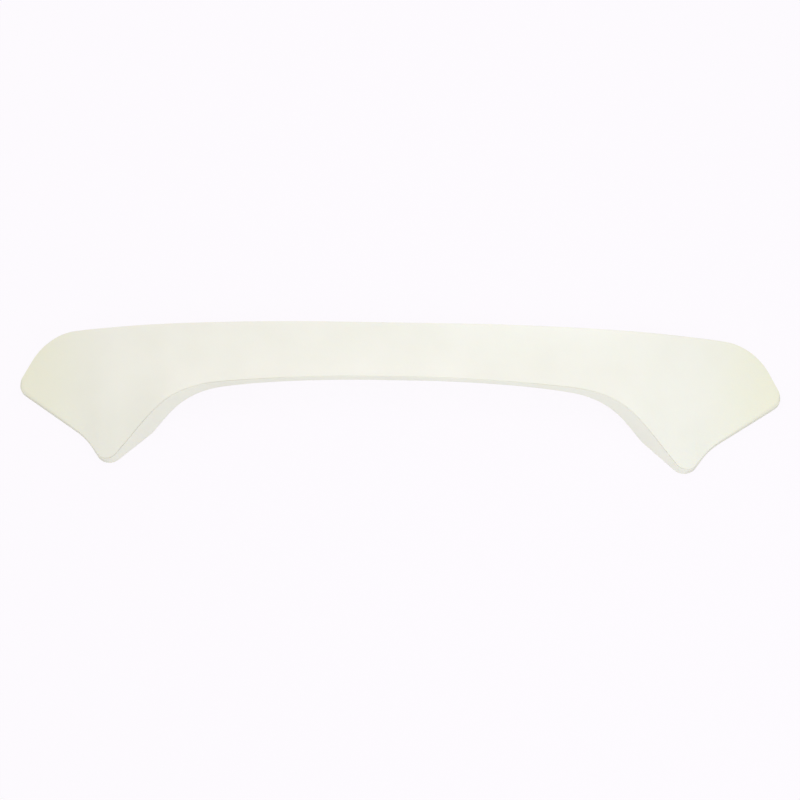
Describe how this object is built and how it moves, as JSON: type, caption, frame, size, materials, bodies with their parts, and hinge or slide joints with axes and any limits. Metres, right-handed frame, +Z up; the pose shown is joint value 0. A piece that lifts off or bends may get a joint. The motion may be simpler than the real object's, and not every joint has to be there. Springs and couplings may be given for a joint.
{
  "type": "rear spoiler",
  "caption": "Raised one-piece rear spoiler for a saloon's boot lid: a hollow moulded bar on two swept feet, with threaded inserts in its base.",
  "frame": {"origin": "mid-width and mid-depth of the spoiler, on the plane of the feet's undersides", "axes": "+X along the span to the car's left-hand side, +Y to the car's rear and the trailing edge, +Z up from the boot lid"},
  "size_m": [1.25, 0.2218, 0.0842],
  "materials": {
    "natural_abs": "unpainted natural ABS, satin from the mould",
    "insert_brass": "turned brass"
  },
  "bodies": {
    "root": {"spoiler_shell": "natural_abs", "insert_left_front": "insert_brass", "insert_left_rear": "insert_brass", "insert_right_front": "insert_brass", "insert_right_rear": "insert_brass"}
  },
  "joints": []
}
